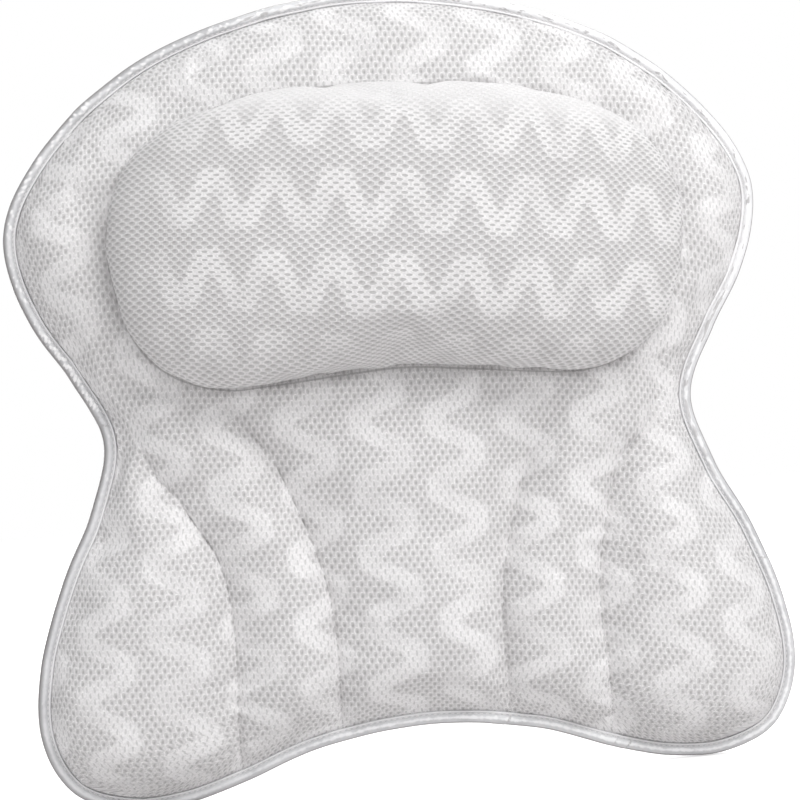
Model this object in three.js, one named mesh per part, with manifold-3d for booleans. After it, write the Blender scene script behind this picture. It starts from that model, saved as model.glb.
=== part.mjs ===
import * as THREE from "three";
import { mergeVertices } from "three/addons/utils/BufferGeometryUtils.js";
import Module from "manifold-3d";

// Bath pillow: a butterfly shaped pad of spacer mesh with a stuffed headrest, held on a tub wall by suction
// cups. Millimetres. X runs across the shoulders, +Z towards the crown of the head, and +Y into the tub
// wall. The rims of the suction cups lie in the plane y = 0. A depth is a distance from it to the bather.

// Overall sizes
const padWidth = 410;
const padHeight = 428;
const padThickness = 28;
const headrestWidth = 302;
const headrestHeight = 158;
const headrestRise = 50;
const headrestTopMargin = 52;
const clearance = 0.3;

// Fabric and binding
const meshThickness = 3;
const backThickness = 4;
const rimThickness = 1.6;
const tapeThickness = 0.9;
const bindingWidth = 7;
const edgeReach = 44;
const seamReach = 34;
const fillClearance = 0.9;

// Suction cups, from the rim on the wall to the head inside the pad
const cupHeight = 12.3;
const cupRadius = 28;
const cupLand = 2.6;
const cupHollow = 8.3;
const cupLip = 1.2;
const shoulderSeat = 3.4;
const shoulderDrop = 0.8;
const neckRadius = 4.4;
const neckClearance = 0.7;
const headGrip = 2.5;
const headThickness = 4.4;
const headRound = 1.8;
const neckFloat = 0.5;
const tabWidth = 10;
const tabLength = 9;
const tabThickness = 1.3;
const tabLift = 0.5;
const tabOverlap = 2;

// Eyelets
const flangeWidth = 4.6;
const flangeThickness = 1.2;
const barrelWall = 1.3;
const washerThickness = 1.2;
const lipWidth = 1.6;
const lipThickness = 0.9;
const pocketMargin = 1;

// Places of the pairs of suction cups, as shares of half the pad's width and of its height
const cupPlaceShares = { upper: [0.6, 0.285], middle: [0.49, 0.08], lower: [0.72, -0.355] };

// Counts of facets
const centreCells = 4;
const middleCells = 3;
const outerCells = 5;
const rowCells = 20;
const stepsPerPoint = 40;
const edgeSamples = 320;
const seamSamples = 60;
const headrestSpokes = 56;
const roundRings = 6;
const cupSegments = 20;
const eyeletSegments = 16;
const holeSegments = 18;
const bellSteps = 4;
const hollowSteps = 3;
const tabCurveSteps = 8;
const foldSteps = 2;

// Right half of the pad's outline from the top centre round to the bottom centre, as shares of half the
// width and of the height
const outlineShares = [
  [0, 0.5], [0.337, 0.478], [0.625, 0.426], [0.844, 0.344], [0.971, 0.257], [0.994, 0.199], [0.943, 0.112],
  [0.853, 0.039], [0.778, -0.042], [0.829, -0.132], [0.912, -0.213], [0.983, -0.314], [0.995, -0.404],
  [0.925, -0.471], [0.781, -0.499], [0.634, -0.497], [0.465, -0.475], [0.29, -0.446], [0, -0.429],
];
const wingCornerIndex = 3;
const lobeCornerIndex = 13;

// Right half of the headrest's outline, likewise
const headrestShares = [
  [0, 0.5], [0.325, 0.494], [0.543, 0.462], [0.742, 0.392], [0.897, 0.281], [0.98, 0.132], [1, -0.025],
  [0.974, -0.186], [0.911, -0.347], [0.8, -0.447], [0.632, -0.5], [0.45, -0.494], [0.225, -0.473],
  [0, -0.457],
];

// Where the two seams of each side cross the pad, from the bottom edge to the top, as shares of the half
// width. Above the waist they only lead the net of the panel.
const innerSeamShares = [0.225, 0.21, 0.225, 0.29, 0.39, 0.54, 0.56, 0.54, 0.52, 0.5, 0.48];
const outerSeamShares = [0.51, 0.475, 0.48, 0.54, 0.68, 0.92, 0.9, 0.85, 0.81, 0.78, 0.75];
const seamTopShare = 0.52;
const seamFadeShare = 0.4;
const fillTopShare = 0.45;
const grooveShare = 0.59;

// Side wall of the headrest: widest above a drawn-in foot
const footShare = 0.945;
const footRiseShare = 0.1;
const footBulgeShare = 0.985;
const widestShare = 0.26;
const crownSpreadShare = 0.86;
const crownRiseShare = 0.92;
const flareRadiusShare = 0.5;
const flareHeightShare = 0.61;
const headTopShare = 0.6;
const seamAllowanceShare = 0.1;

// Depths of the layers, from the tub wall to the bather
const eyeletBack = cupHeight + clearance;
const panelBack = eyeletBack + flangeThickness + clearance;
const panelFront = panelBack + backThickness;
const frontRimBack = panelFront + clearance;
const frontRimFront = frontRimBack + rimThickness;
const padFront = panelBack + padThickness;
const washerBack = panelFront + clearance;
const lipBack = washerBack + washerThickness + clearance;
const lipFront = lipBack + lipThickness;
const headBack = lipFront + neckFloat;
const headFront = headBack + headThickness;

// Radii of what turns in an eyelet and of the eyelet itself
const boreRadius = neckRadius + neckClearance;
const shoulderRadius = boreRadius + shoulderSeat;
const headRadius = boreRadius + headGrip;
const barrelRadius = boreRadius + barrelWall;
const flangeRadius = barrelRadius + flangeWidth;

// Places on the pad
const headrestFoot = padFront + clearance;
const headrestCentre = padHeight / 2 - headrestTopMargin - headrestHeight / 2;

const wasm = await Module();
wasm.setup();

// Point of the object at a depth from the tub wall
function at(x, depth, z) {
  return new THREE.Vector3(x, -depth, z);
}

// Closed surface through the right half's shares and their mirror image
function mirroredLoop(shares, halfWidth, height, centreZ) {
  const right = shares.map(([x, z]) => at(x * halfWidth, 0, centreZ + z * height));
  const left = right.slice(1, -1).reverse().map((p) => at(-p.x, 0, p.z));
  const loop = new THREE.CatmullRomCurve3([...right, ...left], true, "centripetal");
  loop.arcLengthDivisions = stepsPerPoint * (right.length + left.length);
  return loop;
}

// Triangles of a quad
function quad(a, b, c, d) {
  return [a, b, c, a, c, d];
}

// Band of quads between two closed loops of equally many points
function band(first, second) {
  return first.flatMap((p, k) => {
    const next = (k + 1) % first.length;
    return quad(p, first[next], second[next], second[k]);
  });
}

// Fan from a pole to a closed loop
function fan(pole, loop) {
  return loop.flatMap((p, k) => [pole, p, loop[(k + 1) % loop.length]]);
}

function bands(loops) {
  return loops.slice(1).flatMap((loop, k) => band(loops[k], loop));
}

// Volume enclosed by triangles, negative where they face inwards
function signedVolume(points) {
  let sum = 0;
  for (let k = 0; k < points.length; k += 3) {
    sum += points[k].dot(points[k + 1].clone().cross(points[k + 2]));
  }
  return sum / 6;
}

// Welded geometry of a closed body, its faces turned outwards
function bodyOf(points) {
  const outward = signedVolume(points) > 0 ? points : points.slice().reverse();
  const geometry = new THREE.BufferGeometry();
  const numbers = outward.flatMap((p) => [p.x, p.y, p.z]);
  geometry.setAttribute("position", new THREE.Float32BufferAttribute(numbers, 3));
  return mergeVertices(geometry);
}

// Body of loops that end in a pole on both sides
function cappedBody(firstPole, loops, lastPole) {
  const start = fan(firstPole, loops[0].slice().reverse());
  return bodyOf([...start, ...bands(loops), ...fan(lastPole, loops[loops.length - 1])]);
}

function weld(geometry) {
  const bare = geometry.clone();
  bare.deleteAttribute("normal");
  bare.deleteAttribute("uv");
  return mergeVertices(bare);
}

function trianglePoints(geometry) {
  const welded = weld(geometry);
  const position = welded.getAttribute("position");
  return Array.from(welded.index.array, (k) => new THREE.Vector3().fromBufferAttribute(position, k));
}

function solidOf(geometry) {
  const welded = weld(geometry);
  const vertProperties = new Float32Array(welded.getAttribute("position").array);
  const triVerts = new Uint32Array(welded.index.array);
  return new wasm.Manifold(new wasm.Mesh({ numProp: 3, vertProperties, triVerts }));
}

function geometryOf(solid) {
  const mesh = solid.getMesh();
  const geometry = new THREE.BufferGeometry();
  geometry.setAttribute("position", new THREE.BufferAttribute(new Float32Array(mesh.vertProperties), 3));
  geometry.setIndex(new THREE.BufferAttribute(new Uint32Array(mesh.triVerts), 1));
  return geometry;
}

// Flat slab with the outline of a closed loop
function slab(loop, depth, thickness) {
  const shape = new THREE.Shape(loop.map((p) => new THREE.Vector2(p.x, p.z)));
  const geometry = new THREE.ExtrudeGeometry(shape, { depth: thickness, bevelEnabled: false });
  geometry.rotateX(Math.PI / 2);
  geometry.translate(0, -depth, 0);
  return geometry;
}

// Round plug along Y, for holes and pockets
function plug(x, z, radius, depth, length) {
  const geometry = new THREE.CylinderGeometry(radius, radius, length, holeSegments);
  geometry.translate(x, -depth - length / 2, z);
  return solidOf(geometry);
}

// Body turned round the Y axis, from pairs of radius and depth
function turned(profile, segments) {
  const points = profile.map(([radius, depth]) => new THREE.Vector2(radius, -depth));
  return bodyOf(trianglePoints(new THREE.LatheGeometry(points, segments)));
}

function smoothstep(low, high, value) {
  return THREE.MathUtils.smoothstep(value, low, high);
}

// Swelling of stuffed cloth from a seam, where it is 0, to its full height
function swell(share) {
  return 1 - (1 - Math.min(share, 1)) ** 3;
}

const outline = mirroredLoop(outlineShares, padWidth / 2, padHeight, 0);

// Share of the outline's length at one of its points
function lengthShare(index) {
  const lengths = outline.getLengths();
  return lengths[index * stepsPerPoint] / lengths[lengths.length - 1];
}

const wingShare = lengthShare(wingCornerIndex);
const lobeShare = lengthShare(lobeCornerIndex);

// Point on the outline, moved in by an inset
function outlinePoint(share, inset) {
  const wrapped = share < 0 ? share + 1 : share;
  const tangent = outline.getTangentAt(wrapped);
  const outwards = at(-tangent.z, 0, tangent.x);
  return outline.getPointAt(wrapped).addScaledVector(outwards, -inset);
}

const topEdge = (across, inset) => outlinePoint(across * wingShare, inset);
const bottomEdge = (across, inset) => outlinePoint(0.5 - across * (0.5 - lobeShare), inset);
const rightEdge = (up, inset) => outlinePoint(lobeShare + (wingShare - lobeShare) * up, inset);

function leftEdge(up, inset) {
  const point = rightEdge(up, inset);
  point.x = -point.x;
  return point;
}

// Net stretched between the four edges inside the binding: across runs from -1 to 1 and up from 0 to 1
function netPoint(across, up) {
  const side = (across + 1) / 2;
  const point = at(0, 0, 0);
  point.addScaledVector(bottomEdge(across, bindingWidth), 1 - up);
  point.addScaledVector(topEdge(across, bindingWidth), up);
  point.addScaledVector(leftEdge(up, bindingWidth), 1 - side);
  point.addScaledVector(rightEdge(up, bindingWidth), side);
  point.addScaledVector(bottomEdge(-1, bindingWidth), -(1 - up) * (1 - side));
  point.addScaledVector(bottomEdge(1, bindingWidth), -(1 - up) * side);
  point.addScaledVector(topEdge(-1, bindingWidth), -up * (1 - side));
  point.addScaledVector(topEdge(1, bindingWidth), -up * side);
  return point;
}

// Smooth reading of a table of shares that is evenly spaced from the bottom to the top
function seamReader(shares) {
  const curve = new THREE.CatmullRomCurve3(shares.map((share, k) => new THREE.Vector3(k, share, 0)));
  return (up) => curve.getPoint(up).y;
}

const innerSeam = seamReader(innerSeamShares);
const outerSeam = seamReader(outerSeamShares);

// Columns of the net: the seams are columns of their own, so that each groove follows its seam
function columnShare(column, up) {
  const inner = innerSeam(up);
  const outer = outerSeam(up);
  const count = Math.abs(column);
  const sign = Math.sign(column);
  if (count <= centreCells) return (sign * inner * count) / centreCells;
  if (count <= centreCells + middleCells) {
    return sign * (inner + ((outer - inner) * (count - centreCells)) / middleCells);
  }
  return sign * (outer + ((1 - outer) * (count - centreCells - middleCells)) / outerCells);
}

const halfColumns = centreCells + middleCells + outerCells;
const columns = Array.from({ length: 2 * halfColumns + 1 }, (_, k) => k - halfColumns);
const rows = Array.from({ length: rowCells + 1 }, (_, k) => k);

// Grid of points as rows of columns
function netGrid(pointAt) {
  return rows.map((row) => columns.map((column) => pointAt(column, row / rowCells)));
}

const net = netGrid((column, up) => netPoint(columnShare(column, up), up));

// Points along a grid's border, once round
function border(grid) {
  const last = grid.length - 1;
  const end = grid[0].length - 1;
  const right = grid.slice(1, last).map((line) => line[end]);
  const left = grid.slice(1, last).map((line) => line[0]).reverse();
  return [...grid[0], ...right, ...grid[last].slice().reverse(), ...left];
}

// Quads of a grid, facing the bather, or the tub wall where it is turned
function gridFaces(grid, isTurned) {
  const faces = [];
  for (let row = 0; row + 1 < grid.length; row += 1) {
    for (let k = 0; k + 1 < grid[0].length; k += 1) {
      const [a, b, c, d] = [grid[row][k + 1], grid[row][k], grid[row + 1][k], grid[row + 1][k + 1]];
      faces.push(...(isTurned ? quad(a, d, c, b) : quad(a, b, c, d)));
    }
  }
  return faces;
}

// Loop parallel to the stitch line of the binding, further out by an offset, at a depth
function rimLoop(offset, depth) {
  const inset = bindingWidth - offset;
  const shareRow = (up, edge) => columns.map((column) => edge(columnShare(column, up), inset));
  const inside = rows.slice(1, -1).map((row) => row / rowCells);
  const right = inside.map((up) => rightEdge(up, inset));
  const left = inside.map((up) => leftEdge(up, inset)).reverse();
  const loop = [...shareRow(0, bottomEdge), ...right, ...shareRow(1, topEdge).reverse(), ...left];
  return loop.map((p) => at(p.x, depth, p.z));
}

// Nearest of some sampled points, with its distance
function nearest(samples, point) {
  let best = { distance: Infinity, up: 0 };
  for (const sample of samples) {
    const distance = Math.hypot(sample.point.x - point.x, sample.point.z - point.z);
    if (distance < best.distance) best = { distance, up: sample.up };
  }
  return best;
}

const stitchLine = Array.from({ length: edgeSamples }, (_, k) => {
  return { point: outlinePoint(k / edgeSamples, bindingWidth), up: 0 };
});

const seamLines = [innerSeam, outerSeam].flatMap((seam) => [-1, 1].flatMap((side) => {
  return Array.from({ length: seamSamples + 1 }, (_, k) => {
    const up = (seamTopShare * k) / seamSamples;
    return { point: netPoint(side * seam(up), up), up };
  });
}));

// Depth of the quilted panel's outer face: a crown drawn in at the edge and in a groove at each seam
function crownDepth(point) {
  const rise = padFront - frontRimFront;
  const seam = nearest(seamLines, point);
  const edge = swell(nearest(stitchLine, point).distance / edgeReach);
  const fade = 1 - smoothstep(seamFadeShare, seamTopShare, seam.up);
  const groove = grooveShare * fade * (1 - swell(seam.distance / seamReach));
  return frontRimFront + rise * (1 - groove) * edge;
}

function panelWall(point) {
  const share = swell(nearest(stitchLine, point).distance / bindingWidth);
  return rimThickness + (meshThickness - rimThickness) * share;
}

function onBorder(row, k) {
  return row === 0 || row === rowCells || k === 0 || k === columns.length - 1;
}

// The outer face of the panel over the whole net, and the inner face that its wall leaves
const outerFace = net.map((line, row) => line.map((p, k) => {
  return at(p.x, onBorder(row, k) ? frontRimFront : crownDepth(p), p.z);
}));
const innerFace = outerFace.map((line, row) => line.map((p, k) => {
  return at(p.x, onBorder(row, k) ? frontRimBack : -p.y - panelWall(p), p.z);
}));

// Edge of the panels inside the fold of the binding
const panelEdge = bindingWidth - tapeThickness - clearance;

function frontPanel() {
  const rim = [rimLoop(panelEdge, frontRimFront), rimLoop(panelEdge, frontRimBack)];
  const walls = bands([border(outerFace), ...rim, border(innerFace)]);
  return bodyOf([...gridFaces(outerFace, false), ...walls, ...gridFaces(innerFace, true)]);
}

// Left and right cup of each pair, with its place
const cups = Object.entries(cupPlaceShares).flatMap(([name, [across, up]]) => [
  { name: `${name}_left`, x: -across * (padWidth / 2), z: up * padHeight },
  { name: `${name}_right`, x: across * (padWidth / 2), z: up * padHeight },
]);

// Flat spacer mesh, pressed thin where the binding grips it, with a hole for each eyelet
function backPanel() {
  const rim = slab(rimLoop(panelEdge, 0), panelFront - rimThickness, rimThickness);
  let solid = solidOf(slab(rimLoop(0, 0), panelBack, backThickness)).add(solidOf(rim));
  const holeRadius = barrelRadius + clearance;
  const holeDepth = backThickness + 2 * clearance;
  for (const cup of cups) {
    solid = solid.subtract(plug(cup.x, cup.z, holeRadius, panelBack - clearance, holeDepth));
  }
  return geometryOf(solid);
}

// Grid with its border drawn in by a share of the outermost cells
function drawnIn(grid, share) {
  const pull = (from, to) => from.clone().lerp(to, share);
  const lines = grid.map((line) => {
    const end = line.length - 1;
    return [pull(line[0], line[1]), ...line.slice(1, -1), pull(line[end], line[end - 1])];
  });
  const last = lines.length - 1;
  const first = lines[0].map((p, k) => pull(p, lines[1][k]));
  return [first, ...lines.slice(1, -1), lines[last].map((p, k) => pull(p, lines[last - 1][k]))];
}

// Flat face over a closed loop
function flatCap(loop) {
  const faces = THREE.ShapeUtils.triangulateShape(loop.map((p) => new THREE.Vector2(p.x, p.z)), []);
  return faces.flat().map((k) => loop[k]);
}

// Stuffing pad under some columns and rows of the panel, hollowed over the cups' heads
function fillPad([firstColumn, lastColumn], [firstRow, lastRow]) {
  const lines = innerFace.slice(firstRow, lastRow + 1);
  const under = lines.map((line) => line.slice(firstColumn + halfColumns, lastColumn + halfColumns + 1));
  const inner = drawnIn(under, seamAllowanceShare);
  const front = inner.map((line) => line.map((p) => at(p.x, -p.y - fillClearance, p.z)));
  const base = border(front).map((p) => at(p.x, frontRimBack, p.z));
  let solid = solidOf(bodyOf([...gridFaces(front, false), ...band(border(front), base), ...flatCap(base)]));
  const pocketRadius = flangeRadius + pocketMargin;
  const pocketDepth = headFront - panelFront + 2 * pocketMargin;
  for (const cup of cups) {
    solid = solid.subtract(plug(cup.x, cup.z, pocketRadius, panelFront - pocketMargin, pocketDepth));
  }
  return geometryOf(solid);
}

// Five channels between the seams, and one pad across the shoulders and behind the headrest
const outerColumn = centreCells + middleCells;
const edgeColumn = halfColumns - 1;
const waistRow = Math.round(fillTopShare * rowCells);
const channelRows = [1, waistRow];
const fills = [
  { name: "channel_fill_outer_left", columns: [-edgeColumn, -outerColumn], rows: channelRows },
  { name: "channel_fill_inner_left", columns: [-outerColumn, -centreCells], rows: channelRows },
  { name: "channel_fill_centre", columns: [-centreCells, centreCells], rows: channelRows },
  { name: "channel_fill_inner_right", columns: [centreCells, outerColumn], rows: channelRows },
  { name: "channel_fill_outer_right", columns: [outerColumn, edgeColumn], rows: channelRows },
  { name: "shoulder_fill", columns: [-edgeColumn, edgeColumn], rows: [waistRow, rowCells - 1] },
];

// Rounded fold of the tape, by a right angle, round a corner of the slot that the rims lie in
function tapeFold(offset, depth, startAngle) {
  return Array.from({ length: foldSteps + 1 }, (_, k) => {
    const angle = startAngle + (Math.PI * k) / 2 / foldSteps;
    return [offset + tapeThickness * Math.cos(angle), depth + tapeThickness * Math.sin(angle)];
  });
}

// Satin tape folded round the rims of both panels
function edgeBinding() {
  const rear = panelFront - rimThickness - clearance;
  const front = frontRimFront + clearance;
  const slotEnd = bindingWidth - tapeThickness;
  const rearLeg = [[slotEnd, rear], [clearance, rear], [clearance, rear - tapeThickness]];
  const folds = [...tapeFold(slotEnd, rear, -Math.PI / 2), ...tapeFold(slotEnd, front, 0)];
  const frontLeg = [[clearance, front + tapeThickness], [clearance, front], [slotEnd, front]];
  const loops = [...rearLeg, ...folds, ...frontLeg].map(([offset, depth]) => rimLoop(offset, depth));
  return bodyOf(bands([...loops, loops[0]]));
}

const headrestLoop = mirroredLoop(headrestShares, headrestWidth / 2, headrestHeight, headrestCentre);
const headrestOutline = headrestLoop.getSpacedPoints(headrestSpokes).slice(0, -1);
const headrestMiddle = at(0, 0, headrestCentre);

// Rings of the headrest from its drawn-in foot over the widest line to the crown. upright is 1 on the side
// wall and 0 on the crown, and an angle of 90 degrees is the crown itself.
const headrestRings = [
  { share: footShare, rise: 0, upright: 1 },
  { share: footBulgeShare, rise: footRiseShare, upright: 1 },
  ...Array.from({ length: roundRings + 1 }, (_, k) => {
    const angle = (k * Math.PI) / 2 / (roundRings + 1);
    return {
      share: Math.cos(angle) ** crownSpreadShare,
      rise: widestShare + (1 - widestShare) * Math.sin(angle) ** crownRiseShare,
      upright: Math.cos(angle),
    };
  }),
];

// One ring, moved in from the outer face by a wall
function headrestRing(ring, wall) {
  return headrestOutline.map((p) => {
    const spoke = p.clone().sub(headrestMiddle).multiplyScalar(ring.share);
    spoke.setLength(spoke.length() - wall * ring.upright);
    const drop = wall * (1 - ring.upright);
    return at(spoke.x, headrestFoot + headrestRise * ring.rise - drop, headrestCentre + spoke.z);
  });
}

function headrestPole(depth) {
  return at(0, depth, headrestCentre);
}

// Stuffed cover, open where it is sewn down on the panel
function headrestCover() {
  const outer = headrestRings.map((ring) => headrestRing(ring, 0)).reverse();
  const inner = headrestRings.map((ring) => headrestRing(ring, meshThickness));
  const crown = headrestFoot + headrestRise;
  return cappedBody(headrestPole(crown), [...outer, ...inner], headrestPole(crown - meshThickness));
}

// Foam core that fills the cover
function headrestCore() {
  const wall = meshThickness + fillClearance;
  const picked = headrestRings.filter((_, k) => k !== 1);
  const loops = picked.map((ring) => headrestRing(ring, wall));
  return cappedBody(headrestPole(headrestFoot), loops, headrestPole(headrestFoot + headrestRise - wall));
}

// Samples of a curve between its ends
function between(curve, steps) {
  return curve.getPoints(steps).slice(1, -1).map((p) => [p.x, p.y]);
}

// Clear suction cup: mushroom head, neck, flared bell with a flat rim, and a tab to lift the rim
function suctionCup() {
  const bell = new THREE.QuadraticBezierCurve(
    new THREE.Vector2(shoulderRadius, cupHeight - shoulderDrop),
    new THREE.Vector2(cupRadius * flareRadiusShare, cupHeight * flareHeightShare),
    new THREE.Vector2(cupRadius, cupLip),
  );
  const hollowRadius = cupRadius - cupLand;
  const hollow = Array.from({ length: hollowSteps }, (_, k) => {
    const share = (hollowSteps - k) / (hollowSteps + 1);
    return [hollowRadius * share, cupHollow * (1 - share ** 2)];
  });
  const profile = [
    [0, headFront],
    [headRadius * headTopShare, headFront],
    [headRadius, headFront - headRound],
    [headRadius, headBack],
    [neckRadius, headBack],
    [neckRadius, cupHeight],
    [shoulderRadius, cupHeight],
    [shoulderRadius, cupHeight - shoulderDrop],
    ...between(bell, bellSteps),
    [cupRadius, cupLip],
    [cupRadius, 0],
    [hollowRadius, 0],
    ...hollow,
    [0, cupHollow],
  ];
  return geometryOf(solidOf(turned(profile, cupSegments)).add(solidOf(liftTab())));
}

function liftTab() {
  const half = tabWidth / 2;
  const root = cupRadius - tabOverlap;
  const shape = new THREE.Shape();
  shape.moveTo(-half, -root);
  shape.lineTo(-half, -cupRadius - tabLength + half);
  shape.absarc(0, -cupRadius - tabLength + half, half, Math.PI, 2 * Math.PI, false);
  shape.lineTo(half, -root);
  const settings = { depth: tabThickness, bevelEnabled: false, curveSegments: tabCurveSteps };
  const geometry = new THREE.ExtrudeGeometry(shape, settings);
  geometry.rotateX(Math.PI / 2);
  geometry.translate(0, -tabLift, 0);
  return geometry;
}

// Eyelet pressed through the back panel: outer flange, barrel and the lip that is rolled over the washer
function eyelet() {
  const lipRadius = barrelRadius + lipWidth;
  const flangeFront = eyeletBack + flangeThickness;
  return turned([
    [boreRadius, eyeletBack],
    [flangeRadius - flangeThickness / 2, eyeletBack],
    [flangeRadius, flangeFront],
    [barrelRadius, flangeFront],
    [barrelRadius, lipBack],
    [lipRadius, lipBack],
    [lipRadius - lipThickness / 2, lipFront],
    [boreRadius, lipFront],
    [boreRadius, eyeletBack],
  ], eyeletSegments);
}

function washer() {
  const inner = barrelRadius + clearance;
  const front = washerBack + washerThickness;
  return turned([
    [inner, washerBack],
    [flangeRadius, washerBack],
    [flangeRadius, front],
    [inner, front],
    [inner, washerBack],
  ], eyeletSegments);
}

// Materials
const paints = {
  mesh: { color: 0xf1f1f0, roughness: 0.9 },
  headrest: { color: 0xf4f4f3, roughness: 0.88 },
  backing: { color: 0xeceded, roughness: 0.92 },
  satin: { color: 0xf3f4f6, roughness: 0.42 },
  fibre: { color: 0xfafaf8, roughness: 1 },
  foam: { color: 0xf2ead0, roughness: 1 },
  clear: { color: 0xdfe9ee, roughness: 0.12 },
  plastic: { color: 0xf6f6f4, roughness: 0.35 },
};

function piece(name, geometry, paint, x = 0, z = 0) {
  geometry.computeVertexNormals();
  const mesh = new THREE.Mesh(geometry, new THREE.MeshStandardMaterial({ ...paints[paint], metalness: 0 }));
  mesh.name = name;
  mesh.position.set(x, 0, z);
  return mesh;
}

const pillow = new THREE.Group();
pillow.add(piece("front_panel", frontPanel(), "mesh"));
pillow.add(piece("back_panel", backPanel(), "backing"));
pillow.add(piece("edge_binding", edgeBinding(), "satin"));
pillow.add(piece("headrest_cover", headrestCover(), "headrest"));
pillow.add(piece("headrest_core", headrestCore(), "foam"));
for (const fill of fills) {
  pillow.add(piece(fill.name, fillPad(fill.columns, fill.rows), "fibre"));
}
for (const cup of cups) {
  pillow.add(piece(`suction_cup_${cup.name}`, suctionCup(), "clear", cup.x, cup.z));
  pillow.add(piece(`eyelet_${cup.name}`, eyelet(), "plastic", cup.x, cup.z));
  pillow.add(piece(`eyelet_washer_${cup.name}`, washer(), "plastic", cup.x, cup.z));
}

export default pillow;
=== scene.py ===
import math

import bmesh
import bpy
import numpy as np
from mathutils import Matrix, Quaternion, Vector


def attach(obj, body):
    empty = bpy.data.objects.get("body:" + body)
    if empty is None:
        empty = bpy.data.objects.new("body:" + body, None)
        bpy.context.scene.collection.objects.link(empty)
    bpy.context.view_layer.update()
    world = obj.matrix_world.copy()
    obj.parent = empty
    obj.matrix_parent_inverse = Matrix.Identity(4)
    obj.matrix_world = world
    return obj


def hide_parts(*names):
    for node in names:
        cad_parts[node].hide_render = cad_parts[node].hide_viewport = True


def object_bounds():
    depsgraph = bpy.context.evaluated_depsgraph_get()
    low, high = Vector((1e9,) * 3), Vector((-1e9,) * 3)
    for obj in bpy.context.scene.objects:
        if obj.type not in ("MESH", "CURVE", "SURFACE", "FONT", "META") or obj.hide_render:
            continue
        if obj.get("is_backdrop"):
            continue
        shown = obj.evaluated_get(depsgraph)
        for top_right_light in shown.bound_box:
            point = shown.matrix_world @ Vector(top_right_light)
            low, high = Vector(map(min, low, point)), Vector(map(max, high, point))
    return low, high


# Lengths below are in millimetres and turn into metres where a mesh is made. A place on the pillow is
# (x, depth, z): x across the shoulders, depth from the tub wall towards the bather, z up.
MM = 0.001
METRE = 1000.0

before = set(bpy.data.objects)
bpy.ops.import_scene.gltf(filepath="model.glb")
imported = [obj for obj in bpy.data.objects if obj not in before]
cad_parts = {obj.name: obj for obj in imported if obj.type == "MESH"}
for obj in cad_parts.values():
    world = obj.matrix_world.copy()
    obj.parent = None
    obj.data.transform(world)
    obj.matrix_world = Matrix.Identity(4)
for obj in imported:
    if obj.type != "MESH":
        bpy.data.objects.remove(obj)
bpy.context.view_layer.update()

PAD_WIDTH = 410.0
PAD_HEIGHT = 428.0
BINDING_WIDTH = 7.0
RIM_BACK = 18.4
RIM_FRONT = 20.0
PAD_FRONT = 42.1
HEAD_ROOM = 8.6
EDGE_REACH = 44.0
SEAM_REACH = 34.0
RIM_EDGE = 5.8

HEADREST_WIDTH = 302.0
HEADREST_HEIGHT = 158.0
HEADREST_CENTRE = np.array([3.6, 80.5])
HEADREST_TURN = math.radians(-1.4)
HEADREST_FOOT = 42.4
CLOTH_TURN = math.radians(4.4)
HEADREST_RISE = 50.0
HEADREST_SIDE = 0.26 * HEADREST_RISE
HEADREST_CORE = 60.0
HEADREST_SINK = 3.2
HEADREST_VOXEL = 4.6

CUP_PLACES = {
    "upper_left": (-123.0, 121.98),
    "upper_right": (123.0, 121.98),
    "middle_left": (-100.45, 34.24),
    "middle_right": (100.45, 34.24),
    "lower_left": (-147.6, -151.94),
    "lower_right": (147.6, -151.94),
}

# Right half of the pad's outline from the top centre round to the bottom centre, in halves of the width and
# in heights
OUTLINE = [
    (0, 0.5), (0.337, 0.478), (0.625, 0.426), (0.844, 0.344), (0.971, 0.257), (0.994, 0.199),
    (0.943, 0.112), (0.853, 0.039), (0.778, -0.042), (0.829, -0.132), (0.912, -0.213), (0.983, -0.314),
    (0.995, -0.404), (0.925, -0.471), (0.781, -0.499), (0.634, -0.497), (0.465, -0.475), (0.29, -0.446),
    (0, -0.429),
]
WING_CORNER = 3
LOBE_CORNER = 13

HEADREST_OUTLINE = [
    (0, 0.5), (0.325, 0.494), (0.543, 0.462), (0.742, 0.392), (0.897, 0.281), (0.98, 0.132), (1, -0.025),
    (0.974, -0.186), (0.911, -0.347), (0.8, -0.447), (0.632, -0.5), (0.45, -0.494), (0.225, -0.473),
    (0, -0.457),
]

# Where the seams of each side cross the pad, from the bottom edge to the top
INNER_SEAM = [0.225, 0.21, 0.225, 0.29, 0.39, 0.54, 0.56, 0.54, 0.52, 0.5, 0.48]
LEFT_SEAM = [0.51, 0.475, 0.48, 0.54, 0.695, 0.89, 0.92, 0.86, 0.81, 0.78, 0.75]
RIGHT_SEAM = [0.51, 0.475, 0.48, 0.54, 0.655, 0.865, 0.87, 0.84, 0.81, 0.78, 0.75]
SEAM_TOP = 0.58
SEAM_FADE = 0.42
GROOVE = 0.59

OUTLINE_STEPS = 40
STITCH_SAMPLES = 720


def smoothstep(low, high, value):
    t = np.clip((np.asarray(value, float) - low) / (high - low), 0, 1)
    return t * t * (3 - 2 * t)


def hump(value, width):
    return np.exp(-((value / width) ** 2))


def swell(share):
    return 1 - (1 - np.clip(share, 0, 1)) ** 3


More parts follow.
